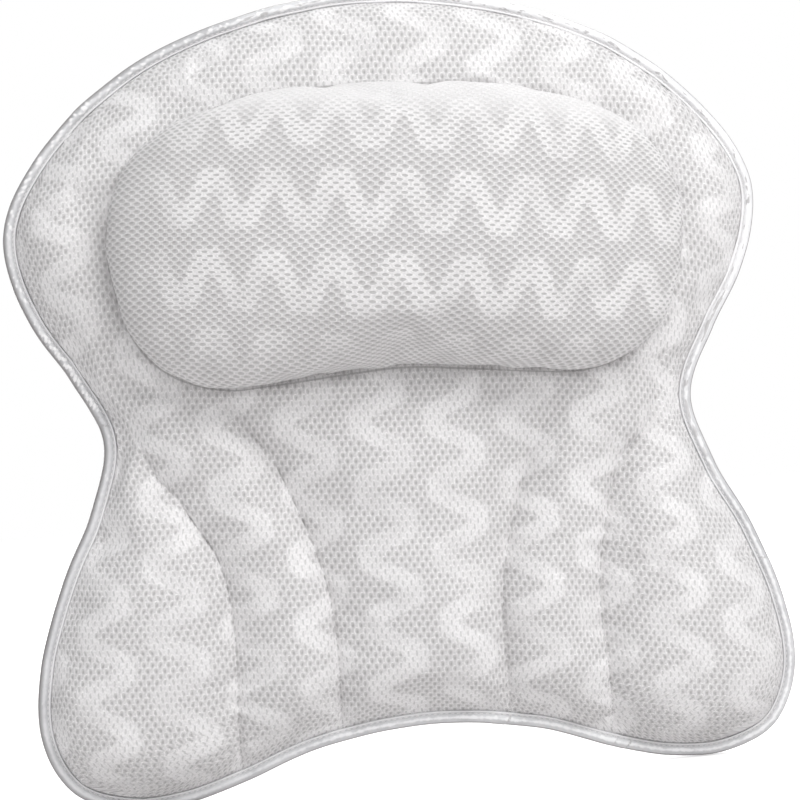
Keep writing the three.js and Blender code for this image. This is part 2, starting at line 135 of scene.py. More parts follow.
def spline(points, closed, steps):
    """Samples of a centripetal Catmull-Rom curve through the points."""
    points = np.asarray(points, float)
    count = len(points)
    t = np.linspace(0, 1, steps, endpoint=False)[:, None]
    out = []
    for k in range(count if closed else count - 1):
        b, c = points[k], points[(k + 1) % count]
        a = points[k - 1] if closed or k else 2 * b - c
        d = points[(k + 2) % count] if closed or k + 2 < count else 2 * c - b
        g0, g1, g2 = (np.linalg.norm(q - p) ** 0.5 for p, q in ((a, b), (b, c), (c, d)))
        m1 = ((b - a) / g0 - (c - a) / (g0 + g1) + (c - b) / g1) * g1
        m2 = ((c - b) / g1 - (d - b) / (g1 + g2) + (d - c) / g2) * g1
        out.append(b + m1 * t + (3 * (c - b) - 2 * m1 - m2) * t**2 + (2 * (b - c) + m1 + m2) * t**3)
    if not closed:
        out.append(points[-1:])
    return np.vstack(out)


class Loop:
    """Closed outline, read by its share of the length."""

    def __init__(self, points):
        self.points = points
        ring = np.vstack([points, points[:1]])
        gaps = np.linalg.norm(np.diff(ring, axis=0), axis=1)
        self.length = gaps.sum()
        self.shares = np.concatenate([[0], np.cumsum(gaps)]) / self.length
        self.ring = ring

    def at(self, share):
        share = np.mod(share, 1)
        return np.stack([np.interp(share, self.shares, self.ring[:, k]) for k in (0, 1)], -1)

    def outward(self, share):
        step = 1.0 / self.length
        along = self.at(share + step) - self.at(share - step)
        along /= np.linalg.norm(along, axis=-1, keepdims=True)
        return np.stack([-along[..., 1], along[..., 0]], -1)


def mirrored(half, scale, centre):
    right = np.asarray(half, float)
    left = right[1:-1][::-1] * [-1, 1]
    return np.vstack([right, left]) * scale + centre


outline_points = mirrored(OUTLINE, [PAD_WIDTH / 2, PAD_HEIGHT], [0, 0])
outline = Loop(spline(outline_points, True, OUTLINE_STEPS))
wing = outline.shares[WING_CORNER * OUTLINE_STEPS]
lobe = outline.shares[LOBE_CORNER * OUTLINE_STEPS]


def edge_point(share, inset):
    return outline.at(share) - outline.outward(share) * np.asarray(inset)[..., None]


def top_edge(across, inset):
    return edge_point(across * wing, inset)


def bottom_edge(across, inset):
    return edge_point(0.5 - across * (0.5 - lobe), inset)


def right_edge(up, inset):
    return edge_point(lobe + (wing - lobe) * up, inset)


def left_edge(up, inset):
    return right_edge(up, inset) * [-1, 1]


def net_point(across, up, inset=BINDING_WIDTH):
    """Net stretched between the pad's four edges: across runs from -1 to 1 and up from 0 to 1."""
    across, up = np.broadcast_arrays(np.asarray(across, float), np.asarray(up, float))
    side = ((across + 1) / 2)[..., None]
    rise = up[..., None]
    one = np.ones_like(across)
    point = bottom_edge(across, inset) * (1 - rise) + top_edge(across, inset) * rise
    point = point + left_edge(up, inset) * (1 - side) + right_edge(up, inset) * side
    low = bottom_edge(-one, inset) * (1 - side) + bottom_edge(one, inset) * side
    high = top_edge(-one, inset) * (1 - side) + top_edge(one, inset) * side
    return point - low * (1 - rise) - high * rise


def seam_reader(shares):
    samples = spline([(k, share) for k, share in enumerate(shares)], False, 40)[:, 1]
    places = np.linspace(0, 1, len(samples))
    return lambda up: np.interp(up, places, samples)


inner_seam = seam_reader(INNER_SEAM)
left_seam = seam_reader(LEFT_SEAM)
right_seam = seam_reader(RIGHT_SEAM)


def column_share(column, up):
    """Place across the net of a column: 0 at the centre, 1 and 2 at the seams, 3 at the edge."""
    inner, outer = inner_seam(up), np.where(column > 0, right_seam(up), left_seam(up))
    size = np.abs(column)
    across = np.where(
        size <= 1,
        inner * size,
        np.where(size <= 2, inner + (outer - inner) * (size - 1), outer + (1 - outer) * (size - 2)),
    )
    return np.sign(column) * across


def distances(points, samples):
    """Distance from each point to the nearest sample, and that sample's number."""
    best = np.full(len(points), np.inf)
    which = np.zeros(len(points), int)
    for start in range(0, len(points), 4000):
        part = points[start : start + 4000]
        gaps = ((part[:, None, :] - samples[None, :, :]) ** 2).sum(-1)
        which[start : start + 4000] = gaps.argmin(1)
        best[start : start + 4000] = np.sqrt(gaps.min(1))
    return best, which


class Ripples:
    """Smooth random unevenness over a plane, with waves of about one length and a spread of about 1."""

    def __init__(self, length, seed, count=14):
        rng = np.random.default_rng(seed)
        angles = rng.uniform(0, 2 * np.pi, count)
        sizes = 2 * np.pi / (length * rng.uniform(0.7, 1.5, count))
        self.waves = np.stack([np.cos(angles), np.sin(angles)], -1) * sizes[:, None]
        self.phases = rng.uniform(0, 2 * np.pi, count)

    def __call__(self, points):
        return np.cos(points @ self.waves.T + self.phases).sum(-1) / (len(self.phases) / 2) ** 0.5


def turned(points, angle):
    """Plane points turned anticlockwise."""
    c, s = math.cos(angle), math.sin(angle)
    return points @ np.array([[c, s], [-s, c]])


# Meshes


def put(name, data):
    obj = bpy.data.objects.new(name, data)
    bpy.context.scene.collection.objects.link(obj)
    return obj


def add_mesh(name, points, faces, cloth=None, seam=None):
    """Object from places in millimetres, with maps of the cloth's own coordinates and of its seams."""
    mesh = bpy.data.meshes.new(name)
    corners = np.asarray(points, float) * [1, -1, 1] * MM
    mesh.from_pydata(corners.tolist(), [], [list(map(int, face)) for face in faces])
    loops = np.empty(len(mesh.loops), np.int32)
    mesh.loops.foreach_get("vertex_index", loops)
    for title, values in (("Cloth", cloth), ("Seam", seam)):
        if values is not None:
            layer = mesh.uv_layers.new(name=title)
            layer.data.foreach_set("uv", (np.asarray(values, float)[loops] * MM).ravel())
    return put(name, mesh)


def places_of(mesh):
    """Vertices of a mesh, in millimetres."""
    found = np.empty(len(mesh.vertices) * 3)
    mesh.vertices.foreach_get("co", found)
    return found.reshape(-1, 3) / MM * [1, -1, 1]


def smooth(mesh):
    mesh.polygons.foreach_set("use_smooth", [True] * len(mesh.polygons))


def face_outwards(obj):
    shape = bmesh.new()
    shape.from_mesh(obj.data)
    bmesh.ops.recalc_face_normals(shape, faces=shape.faces)
    shape.to_mesh(obj.data)
    shape.free()
    smooth(obj.data)
    obj.data.update()
    return obj


def modified_mesh(obj):
    graph = bpy.context.evaluated_depsgraph_get()
    return bpy.data.meshes.new_from_object(obj.evaluated_get(graph), depsgraph=graph)


def apply_modifiers(obj):
    mesh = modified_mesh(obj)
    obj.modifiers.clear()
    obj.data = mesh


def grid_faces(rows, columns, first=0):
    corners = [first + r * columns + c for r in range(rows - 1) for c in range(columns - 1)]
    return [(k, k + 1, k + columns + 1, k + columns) for k in corners]


def loop_faces(first, second):
    """Quads between two closed loops of vertex numbers."""
    count = len(first)
    return [(first[k], first[(k + 1) % count], second[(k + 1) % count], second[k]) for k in range(count)]


def border(rows, columns):
    """Vertex numbers once round a grid."""
    number = np.arange(rows * columns).reshape(rows, columns)
    return np.concatenate([number[0], number[1:-1, -1], number[-1][::-1], number[1:-1, 0][::-1]])


LAST_FRAME = 20
CLOTH_SETTINGS = dict(
    quality=6, mass=0.3, tension_stiffness=15, compression_stiffness=15, shear_stiffness=6,
    bending_stiffness=3, air_damping=2, use_pressure=True, uniform_pressure_force=4, pin_stiffness=1,
)


def inflate(name, points, faces, pinned, growth, cap):
    """The points after a short cloth simulation under pressure, moved no further than a cap."""
    obj = add_mesh(name, points, faces)
    group = obj.vertex_groups.new(name="sewn")
    for step in range(1, 11):
        chosen = np.nonzero(np.round(pinned * 10) == step)[0]
        group.add(chosen.tolist(), step / 10, "REPLACE")
    cloth = obj.modifiers.new("cloth", "CLOTH")
    cloth.point_cache.frame_start = 1
    cloth.point_cache.frame_end = LAST_FRAME
    for key, value in CLOTH_SETTINGS.items():
        setattr(cloth.settings, key, value)
    cloth.settings.shrink_min = -growth
    cloth.settings.vertex_group_mass = "sewn"
    cloth.settings.effector_weights.gravity = 0
    cloth.collision_settings.use_collision = False
    cloth.collision_settings.use_self_collision = False
    for number in range(1, LAST_FRAME + 1):
        bpy.context.scene.frame_set(number)
    held = obj.evaluated_get(bpy.context.evaluated_depsgraph_get())
    move = places_of(held.to_mesh()) - points
    held.to_mesh_clear()
    bpy.data.objects.remove(obj, do_unlink=True)
    bpy.context.scene.frame_set(1)
    size = np.linalg.norm(move, axis=1, keepdims=True)
    return points + move * np.minimum(1, cap / np.maximum(size, 1e-9))


def resample(grid, rows, columns):
    """Cubic reading of a grid of points at fractional rows and columns."""

    def along(values, places):
        count = len(values)
        low = np.clip(np.floor(places).astype(int), 0, count - 2)
        t = (places - low).reshape((-1,) + (1,) * (values.ndim - 1))
        b, c = values[low], values[low + 1]
        a = np.where((low > 0).reshape(t.shape), values[np.maximum(low - 1, 0)], 2 * b - c)
        d = np.where((low + 2 < count).reshape(t.shape), values[np.minimum(low + 2, count - 1)], 2 * c - b)
        square = (2 * a - 5 * b + 4 * c - d) * t**2
        return 0.5 * (2 * b + (c - a) * t + square + (3 * b - a - 3 * c + d) * t**3)

    return np.swapaxes(along(np.swapaxes(along(grid, rows), 0, 1), columns), 0, 1)


# Headrest outline in the plane of the pad

headrest_corners = mirrored(HEADREST_OUTLINE, [HEADREST_WIDTH / 2, HEADREST_HEIGHT], [0, 0])
headrest_outline = Loop(spline(headrest_corners, True, 24))
headrest_angles = np.unwrap(np.arctan2(headrest_outline.points[:, 0], headrest_outline.points[:, 1]))
headrest_reach = np.linalg.norm(headrest_outline.points, axis=1)


def headrest_radius(angle):
    """Distance from the headrest's centre to its outline at an angle from the top, clockwise."""
    wrapped = np.mod(angle, 2 * np.pi)
    places = np.concatenate([headrest_angles, [2 * np.pi]])
    reach = np.interp(wrapped, places, np.concatenate([headrest_reach, headrest_reach[:1]]))
    # Sewn a little lower along the top, most of all at its right shoulder
    turn = np.mod(angle + np.pi, 2 * np.pi) - np.pi
    lower = 0.02 * smoothstep(1.5, 1.0, np.abs(turn)) + 0.028 * hump(turn - 0.84, 0.45)
    return reach * (1 - lower)


def headrest_share(points):
    """1 on the headrest's outline, 0 at its centre, and the distance outside it."""
    inside = turned(points - HEADREST_CENTRE, -HEADREST_TURN)
    radius = headrest_radius(np.arctan2(inside[..., 0], inside[..., 1]))
    reach = np.linalg.norm(inside, axis=-1)
    return reach / radius, reach - radius


# Quilted pad


def denser(t, ends):
    """Even steps from 0 to 1, drawn closer together at the end, or at both ends."""
    if ends == 1:
        return 0.55 * t + 0.45 * np.sin(t * np.pi / 2)
    return t - 0.5 * np.sin(2 * np.pi * t) / (2 * np.pi)


def half_columns(centre, middle, outer):
    first = denser(np.arange(centre) / centre, 1)
    second = 1 + denser(np.arange(middle) / middle, 2)
    third = 2 + denser(np.arange(outer + 1) / outer, 2)
    return np.concatenate([first, second, third])


def pad_grid():
    half = half_columns(12, 9, 14)
    columns = np.concatenate([-half[:0:-1], half])
    rows = np.linspace(0, 1, 97)
    rows = rows - 0.35 * np.sin(2 * np.pi * rows) / (2 * np.pi)
    return columns, rows


stitch_shares = np.arange(STITCH_SAMPLES) / STITCH_SAMPLES
stitch_line = edge_point(stitch_shares, BINDING_WIDTH)
seam_ups = np.linspace(0, SEAM_TOP, 120)
seam_sides = [(inner_seam, -1), (inner_seam, 1), (left_seam, -1), (right_seam, 1)]
seam_lines = np.vstack([net_point(side * seam(seam_ups), seam_ups) for seam, side in seam_sides])
seam_ends = [(SEAM_FADE, SEAM_TOP), (0.34, 0.5), (SEAM_FADE, SEAM_TOP), (SEAM_FADE, SEAM_TOP)]
seam_fades = np.concatenate([1 - smoothstep(low, high, seam_ups) for low, high in seam_ends])


def crown_depth(flat):
    """Depth of the stuffed panel: full in the middle, drawn in at the edge and at each seam."""
    edge, _ = distances(flat, stitch_line)
    seam, which = distances(flat, seam_lines)
    groove = GROOVE * seam_fades[which] * (1 - swell(seam / SEAM_REACH))
    _, outside = headrest_share(flat)
    pressed = HEADREST_SINK * smoothstep(2, -7, outside) - 0.9 * hump(outside - 5, 7)
    full = (PAD_FRONT - RIM_FRONT) * (1 - groove) * swell(edge / EDGE_REACH)
    return RIM_FRONT + full - pressed * smoothstep(6, 24, edge)


def blown_pad():
    """The front panel after its simulation, as a grid over the columns and rows of the net."""
    columns, rows = pad_grid()
    flat = net_point(column_share(columns[None, :], rows[:, None]), rows[:, None])
    shape = flat.shape[:2]
    points = flat.reshape(-1, 2)
    seam, which = distances(points, seam_lines)
    _, outside = headrest_share(points)
    ring = border(*shape)
    start = np.stack([points[:, 0], crown_depth(points), points[:, 1]], -1)
    start[ring, 1] = RIM_FRONT
    pinned = seam_fades[which] * (seam < 0.8)
    pinned = np.maximum(pinned, smoothstep(6, -2, outside))
    pinned[ring] = 1
    blown = inflate("pad_cloth", start, grid_faces(*shape), pinned, growth=0.008, cap=7)
    return blown.reshape(*shape, 3), columns, rows


def folded_grid(grid, columns, rows):
    """Finer grid, with a fold along each seam and close columns beside it, and its places on the net."""
    folds = [0] + [int(np.argmin(np.abs(columns - place))) for place in (-2, -1, 1, 2)] + [len(columns) - 1]
    fine_rows = np.linspace(0, len(rows) - 1, 3 * len(rows) - 2)
    strips, creased = [], []
    for k, (first, last) in enumerate(zip(folds, folds[1:])):
        steps = np.linspace(first, last, 2 * (last - first) + 1)
        beside = [first + 0.18] if k else []
        beside += [last - 0.18] if k < 4 else []
        steps = np.sort(np.concatenate([steps, beside]))
        steps = steps if k == 4 else steps[:-1]
        strips.append(steps)
        creased.append(resample(grid[:, first : last + 1], fine_rows, steps - first))
    fine_columns = np.concatenate(strips)
    soft = resample(grid, fine_rows, fine_columns)
    up = read_at(fine_rows, rows)
    share = smoothstep(0.36, 0.5, up)[:, None, None]
    return np.concatenate(creased, 1) * (1 - share) + soft * share, read_at(fine_columns, columns), up


def cloth_lengths(grid, edge):
    """The cloth's own coordinates: lengths along it from the middle, as the pattern lies on the pad."""
    shape = grid.shape[:2]
    plane = grid[..., [0, 2]]
    steep = (0.3 + 0.7 * smoothstep(34, 8, edge)).reshape(shape)

    def spare(axis):
        solid = np.linalg.norm(np.diff(grid, axis=axis), axis=-1)
        level = np.linalg.norm(np.diff(plane, axis=axis), axis=-1)
        weight = steep[1:] if axis == 0 else steep[:, 1:]
        return np.cumsum((solid - level) * weight, axis=axis)

    across = np.insert(spare(1), 0, 0, axis=1)
    across -= across[:, shape[1] // 2][:, None]
    up = np.insert(spare(0), 0, 0, axis=0)
    up -= up[int(shape[0] * 0.35)][None, :]
    slack = np.interp(plane[..., 1], [0, 60, 166, 190], [0, -8, -8, -10])
    skew = 0.05 * plane[..., 0]
    skew = skew + 0.09 * np.maximum(plane[..., 0] - 80, 0) * smoothstep(160, 110, plane[..., 1])
    heights = plane[..., 1] + up + slack + skew
    return np.stack([plane[..., 0] + across, heights], -1).reshape(-1, 2)


def pad_lining(grid, ring, rim):
    """Inner face, which leaves room for the heads of the cups and joins the rim."""
    shape = grid.shape[:2]
    rows, columns = [np.linspace(0, size - 1, few).astype(int) for size, few in zip(shape, (25, 21))]
    points = grid[rows][:, columns].reshape(-1, 3)
    reach, _ = distances(points[:, [0, 2]], stitch_line)
    points[:, 1] = RIM_BACK + HEAD_ROOM * swell(reach / 30)
    edge = border(len(rows), len(columns))
    points[edge, 1] = RIM_BACK
    base = int(rim[-1]) + 1
    faces = [face[::-1] for face in grid_faces(len(rows), len(columns), first=base)]
    steps = {int(number): k for k, number in enumerate(ring)}
    lookup = np.arange(shape[0] * shape[1]).reshape(shape)[rows][:, columns].reshape(-1)
    places = [steps[int(lookup[number])] for number in edge]
    for k, place in enumerate(places):
        following = places[(k + 1) % len(places)] or len(ring)
        line = [int(rim[n % len(ring)]) for n in range(place, following + 1)]
        faces.append([*line, base + int(edge[(k + 1) % len(places)]), base + int(edge[k])])
    return points, faces


def quilted_pad():
    grid, across, up = folded_grid(*blown_pad())
    shape = grid.shape[:2]
    ring = border(*shape)
    outer = grid.reshape(-1, 3)
    flat = outer[:, [0, 2]]
    edge, nearest = distances(flat, stitch_line)
    seam, which = distances(flat, seam_lines)
    fade = seam_fades[which]
    _, outside = headrest_share(flat)
    free = smoothstep(1, 7, edge)
    calm = smoothstep(-4, 8, outside)

    # Crease of each seam, gathers along it and along the binding, and the unevenness of the stuffing
    crease = 1.3 * fade * hump(seam, 1.3)
    along = seam_ups[which % len(seam_ups)] * 400
    gather = Ripples(9, 3)(np.stack([along, which // len(seam_ups) * 50.0], -1))
    gather = 0.22 * fade * gather * hump(seam - 4, 7)
    pucker = Ripples(11, 5)(np.stack([nearest * outline.length / STITCH_SAMPLES, np.zeros(len(flat))], -1))
    pucker = 0.5 * pucker * hump(edge - 5, 8)
    uneven = 0.55 * Ripples(55, 8)(flat) + 0.22 * Ripples(21, 9)(flat)
    uneven = uneven - 3 * hump(flat[:, 0] - 2, 48) * hump(flat[:, 1] + 72, 26)
    outer[:, 1] += (gather + pucker + uneven * calm) * free - crease * free
    outer[ring, 1] = RIM_FRONT
    grid = outer.reshape(*shape, 3)

    # Rim in the fold of the binding, and the inner face
    sides = outline_offsets(across, up, BINDING_WIDTH - RIM_EDGE)
    rims = [np.insert(sides, 1, depth, axis=1) for depth in (RIM_FRONT, RIM_BACK)]
    first = len(outer) + np.arange(len(ring))
    second = first + len(ring)
    lining, lining_faces = pad_lining(grid, ring, second)
    points = np.vstack([outer, *rims, lining])
    faces = grid_faces(*shape) + loop_faces(ring, first) + loop_faces(first, second) + lining_faces
    cloth = cloth_lengths(grid, edge)
    cloth = np.vstack([cloth, cloth[ring], cloth[ring], lining[:, [0, 2]]])
    # Distances to the seams and to the headrest's outline, which place the painted shade lines of the
    # material
    beside = np.stack([seam + 25 * (1 - fade), outside], -1)
    beside = np.vstack([beside, beside[ring], beside[ring], np.full((len(lining), 2), 60.0)])
    return face_outwards(add_mesh("quilted_pad", points, faces, cloth, beside))


def read_at(places, values):
    return np.interp(places, np.arange(len(values)), values)


def outline_offsets(columns, rows, inset):
    """Points parallel to the pad's outline, one for each vertex of a grid's border."""
    low = bottom_edge(column_share(columns, 0 * columns), inset)
    high = top_edge(column_share(columns, 0 * columns + 1), inset)
    right = right_edge(rows[1:-1], inset)
    left = left_edge(rows[1:-1], inset)
    return np.vstack([low, right, high[::-1], left[::-1]])


# Headrest


def headrest_profile(count):
    """Shares of the radius and heights from the crown's pole down to the foot."""
    angles = np.linspace(np.pi / 2, 0, count)
    share = np.cos(angles) ** 0.86
    rise = 0.26 + 0.74 * np.sin(angles) ** 0.92
    share = np.concatenate([share, [0.994, 0.975, 0.945, 0.925]])
    height = np.concatenate([rise, [0.16, 0.07, -0.005, -0.06]]) * HEADREST_RISE + HEADREST_FOOT
    return share, height


def headrest():
    spokes = 128
    share, height = headrest_profile(26)
    angle = np.arange(spokes) * 2 * np.pi / spokes
    radius = headrest_radius(angle)
    share = share[1:]
    height = height[1:]
    ring = np.stack([np.sin(angle), np.cos(angle)], -1) * radius[:, None]
    plane = ring[None] * share[:, None, None]
    depth = np.broadcast_to(height[:, None, None], plane.shape[:2] + (1,))
    start = np.concatenate([plane[..., :1], depth, plane[..., 1:]], -1)
    points = start.reshape(-1, 3)
    pole = np.array([[0, HEADREST_FOOT + HEADREST_RISE, 0], [0, height[-1], 0]])
    points = np.vstack([points, pole])
    loops = np.arange(len(share) * spokes).reshape(len(share), spokes)
    faces = [face for k in range(len(share) - 1) for face in loop_faces(loops[k], loops[k + 1])]
    top, foot = len(points) - 2, len(points) - 1
    faces += [(top, loops[0][(k + 1) % spokes], loops[0][k]) for k in range(spokes)]
    faces += [(foot, loops[-1][k], loops[-1][(k + 1) % spokes]) for k in range(spokes)]
    obj = face_outwards(add_mesh("headrest", points, faces))
    obj.data.remesh_voxel_size = HEADREST_VOXEL * MM
    obj.data.remesh_voxel_adaptivity = 0
    bpy.context.view_layer.objects.active = obj
    obj.select_set(True)
    bpy.ops.object.voxel_remesh()
    obj.select_set(False)
    found = places_of(obj.data)
    faces = [list(face.vertices) for face in obj.data.polygons]
    bpy.data.objects.remove(obj, do_unlink=True)

    pinned = smoothstep(HEADREST_FOOT + 3.5, HEADREST_FOOT - 0.5, found[:, 1])
    start = found.copy()
    plane = start[:, [0, 2]]
    squeeze = smoothstep(HEADREST_FOOT, HEADREST_FOOT + 30, start[:, 1])
    start[:, [0, 2]] = plane * (1 - 0.012 * squeeze[:, None])
    start[:, 1] -= 1.6 * squeeze
    blown = inflate("headrest_cloth", start, faces, pinned, growth=0.014, cap=6)
    plane = blown[:, [0, 2]]
    free = smoothstep(HEADREST_FOOT - 2, HEADREST_FOOT + 12, blown[:, 1])
    swollen = 0.4 * Ripples(48, 12)(plane) + 0.18 * Ripples(20, 13)(plane)
    blown[:, 1] += swollen * free

    # Gathers at the foot
    angle = np.arctan2(plane[:, 0], plane[:, 1])
    around = angle * 100
    fold = Ripples(12, 21)(np.stack([around, 0 * around], -1))
    low = hump(blown[:, 1] - HEADREST_FOOT - 7, 8)
    reach = np.linalg.norm(plane, axis=1, keepdims=True)
    blown[:, [0, 2]] += plane / np.maximum(reach, 1) * (0.45 * fold * low)[:, None]

    cloth = turned(headrest_cloth(blown), CLOTH_TURN)
    flat = turned(blown[:, [0, 2]], HEADREST_TURN) + HEADREST_CENTRE
    blown[:, 0] = flat[:, 0]
    blown[:, 2] = flat[:, 1]
    obj = face_outwards(add_mesh("headrest", blown, faces, cloth))
    finer = obj.modifiers.new("round", "SUBSURF")
    finer.levels = 1
    finer.render_levels = 1
    apply_modifiers(obj)
    return obj


def headrest_cloth(points):
    """Coordinates of the cover's cloth: lengths along it from the crown outwards."""
    share, height = headrest_profile(60)
    plane = points[:, [0, 2]]
    angle = np.arctan2(plane[:, 0], plane[:, 1])
    radius = headrest_radius(angle)
    turn = np.arctan2(height - HEADREST_FOOT - HEADREST_SIDE, share * HEADREST_CORE)
    reaches = np.linspace(radius.min(), radius.max(), 24)
    steps = np.hypot(np.diff(share * reaches[:, None]), np.diff(height))
    tables = np.insert(np.cumsum(steps, axis=1), 0, 0, axis=1)
    reach = np.linalg.norm(plane, axis=1)
    own = np.arctan2(points[:, 1] - HEADREST_FOOT - HEADREST_SIDE, reach / radius * HEADREST_CORE)
    place = np.interp(-own, -turn, np.arange(len(turn)))
    row = np.interp(radius, reaches, np.arange(len(reaches)))
    low = np.clip(np.floor(row).astype(int), 0, len(reaches) - 2)
    t = row - low
    column = np.clip(np.floor(place).astype(int), 0, len(turn) - 2)
    s = place - column
    near = tables[low, column] * (1 - s) + tables[low, column + 1] * s
    far = tables[low + 1, column] * (1 - s) + tables[low + 1, column + 1] * s
    length = near * (1 - t) + far * t
    return plane / np.maximum(reach, 1e-6)[:, None] * length[:, None]


# Back panel

BACK_HOLE = 8.2
BACK_INSIDE = 16.5
BACK_RIM = 16.6
BACK_THICKNESS = 1.5


def back_panel():
    columns, rows = pad_grid()
    columns = read_at(np.linspace(0, len(columns) - 1, 59), columns)
    rows = np.linspace(0, 1, 81)
    flat = net_point(column_share(columns[None, :], rows[:, None]), rows[:, None])
    shape = flat.shape[:2]
    points = flat.reshape(-1, 2)
    ring = border(*shape)
    faces = grid_faces(*shape)
    middles = np.array([points[list(face)].mean(0) for face in faces])
    centres = np.array(list(CUP_PLACES.values()))
    near, _ = distances(middles, centres)
    keep = [face for face, gap in zip(faces, near) if gap > BACK_HOLE + 1]
    dropped = [face for face, gap in zip(faces, near) if gap <= BACK_HOLE + 1]
    lip = np.intersect1d(keep, dropped)
    gap, which = distances(points[lip], centres)
    away = (points[lip] - centres[which]) / gap[:, None]
    points[lip] = centres[which] + away * BACK_HOLE
    edge, _ = distances(points, stitch_line)
    pull, _ = distances(points, centres)
    lift = 0.5 * Ripples(60, 31)(points) + 0.2 * Ripples(24, 32)(points)
    slack = (0.5 + 0.5 * np.tanh(lift)) * smoothstep(8, 30, edge) * smoothstep(12, 34, pull)
    depth = BACK_INSIDE - 2.3 * smoothstep(0, 5, edge) - slack
    solid = np.stack([points[:, 0], depth, points[:, 1]], -1)
    sides = outline_offsets(columns, rows, BINDING_WIDTH - RIM_EDGE)
    first = len(solid) + np.arange(len(ring))
    solid = np.vstack([solid, np.insert(sides, 1, BACK_RIM, axis=1)])
    faces = keep + loop_faces(ring, first)
    obj = add_mesh("back_panel_mesh", solid, faces, solid[:, [0, 2]])
    thick = obj.modifiers.new("thick", "SOLIDIFY")
    thick.thickness = BACK_THICKNESS * MM
    thick.offset = 1
    smooth(obj.data)
    apply_modifiers(obj)
    shape = bmesh.new()
    shape.from_mesh(obj.data)
    loose = [v for v in shape.verts if not v.link_faces]
    bmesh.ops.delete(shape, geom=loose, context="VERTS")
    shape.to_mesh(obj.data)
    shape.free()
    return face_outwards(obj)


# Edge binding

# Distance from the tape's inner edge and depth, round its section
TAPE_SECTION = [
    (6.0, 16.1), (3.2, 16.05), (0.4, 16.1), (0.05, 15.7), (0.4, 15.25), (1.6, 15.35), (3.4, 15.0),
    (5.2, 15.3), (6.5, 16.2), (7.0, 17.6), (7.05, 18.9), (6.65, 20.3), (5.7, 21.35), (4.4, 21.9),
    (3.1, 21.85), (2.2, 21.4), (1.65, 20.7), (1.2, 20.8), (0.75, 21.0), (0.3, 20.85), (0.0, 20.4),
    (0.4, 20.05), (3.2, 20.15), (6.0, 20.1),
]
TAPE_MIDDLE = (3.0, 18.25)
STITCH_PLACE = (1.65, 20.82)

# Share of the way round from the top, with the strength of the gathers and the rise of each lap there
TURNING = [
    (0, 0.55), (0.04, 0.8), (0.14, 1), (0.19, 0.6), (0.25, 0.3), (0.5, 0.25), (0.7, 0.35), (0.78, 0.6),
    (0.86, 1), (0.96, 0.9), (1, 0.55),
]
LAPS = [
    (0.3085, 0.5), (0.428, 0.6), (0.433, 0.4), (0.4715, 0.6), (0.761, 0.6), (0.764, 0.4), (0.885, 0.4),
]


def edge_binding():
    stations = 2000
    share = np.arange(stations) / stations
    here = share * outline.length
    rng = np.random.default_rng(41)
    section = np.array(TAPE_SECTION)
    slant_at = section[:, 0][None, :] - 3.5

    def away_from(place, slant):
        away = here[:, None] - place - slant * slant_at
        return (away + outline.length / 2) % outline.length - outline.length / 2

    # Gathers across the tape, most of them where the edge turns round the shoulders
    turning = np.array(TURNING)
    height = np.zeros((stations, len(section)))
    place = 0.0
    while place < outline.length:
        strength = np.interp(place / outline.length, turning[:, 0], turning[:, 1])
        size = rng.uniform(0.2, 0.8) * strength
        width = rng.uniform(0.8, 1.7)
        away = away_from(place, rng.uniform(1.2, 2.6))
        middle = rng.uniform(2.8, 4.6)
        height += size * hump(away, width) * hump(section[:, 0] - middle, 1.9)
        place += rng.uniform(2.6, 6.8)
    # Close crinkles above the left waist
    for at in np.linspace(0.7665, 0.797, 14):
        away = away_from(at * outline.length + rng.uniform(-1, 1), rng.uniform(0.8, 1.8))
        size = rng.uniform(0.4, 0.9)
        height += size * hump(away, 0.75) * hump(section[:, 0] - 3.6, 2.4)
    # Laps where the tape was pieced and where it turns sharply
    gathers_and_lap_shade = height.copy()
    for at, rise in LAPS:
        away = away_from(at * outline.length, 0.5)
        height += rise * smoothstep(-0.5, 0.3, away) * smoothstep(13, 3, away)
        # The copy of the gathers also gets a mark for a painted shade line at the edge of each lap
        gathers_and_lap_shade -= 1.3 * rise * hump(away + 0.3, 0.75)
    outside = (section[:, 1] < 15.9) | (section[:, 1] > 20.8) | (section[:, 0] > 6.3)
    free = smoothstep(1.3, 2.6, section[:, 0]) * outside * (1 - 0.75 * smoothstep(4.8, 6.6, section[:, 0]))
    height = np.minimum(height, 0.9) * free[None]
    normal = section - TAPE_MIDDLE
    normal /= np.linalg.norm(normal, axis=1, keepdims=True)
    moved = section[None] + height[..., None] * normal[None]
    sway = 0.12 * Ripples(40, 43)(np.stack([here, 0 * here], -1))
    base = outline.at(share)
    outward = outline.outward(share)
    flat = base[:, None, :] + outward[:, None, :] * (moved[..., :1] - BINDING_WIDTH + sway[:, None, None])
    points = np.concatenate([flat[..., :1], moved[..., 1:], flat[..., 1:]], -1).reshape(-1, 3)
    numbers = np.arange(stations * len(section)).reshape(stations, len(section))
    faces = []
    for k in range(stations):
        faces += loop_faces(numbers[k], numbers[(k + 1) % stations])
    lengths = np.concatenate([[0], np.cumsum(np.linalg.norm(np.diff(section, axis=0), axis=1))])
    cloth = np.stack(np.broadcast_arrays(here[:, None], lengths[None, :]), -1).reshape(-1, 2)
    across = np.where(section[:, 1] > 18.5, section[:, 0], 9 - (section[:, 1] - 15) / 3.5)
    folds = np.stack(np.broadcast_arrays(gathers_and_lap_shade * free[None], across[None, :]), -1).reshape(-1, 2)
    return face_outwards(add_mesh("satin_binding", points, faces, cloth, folds))


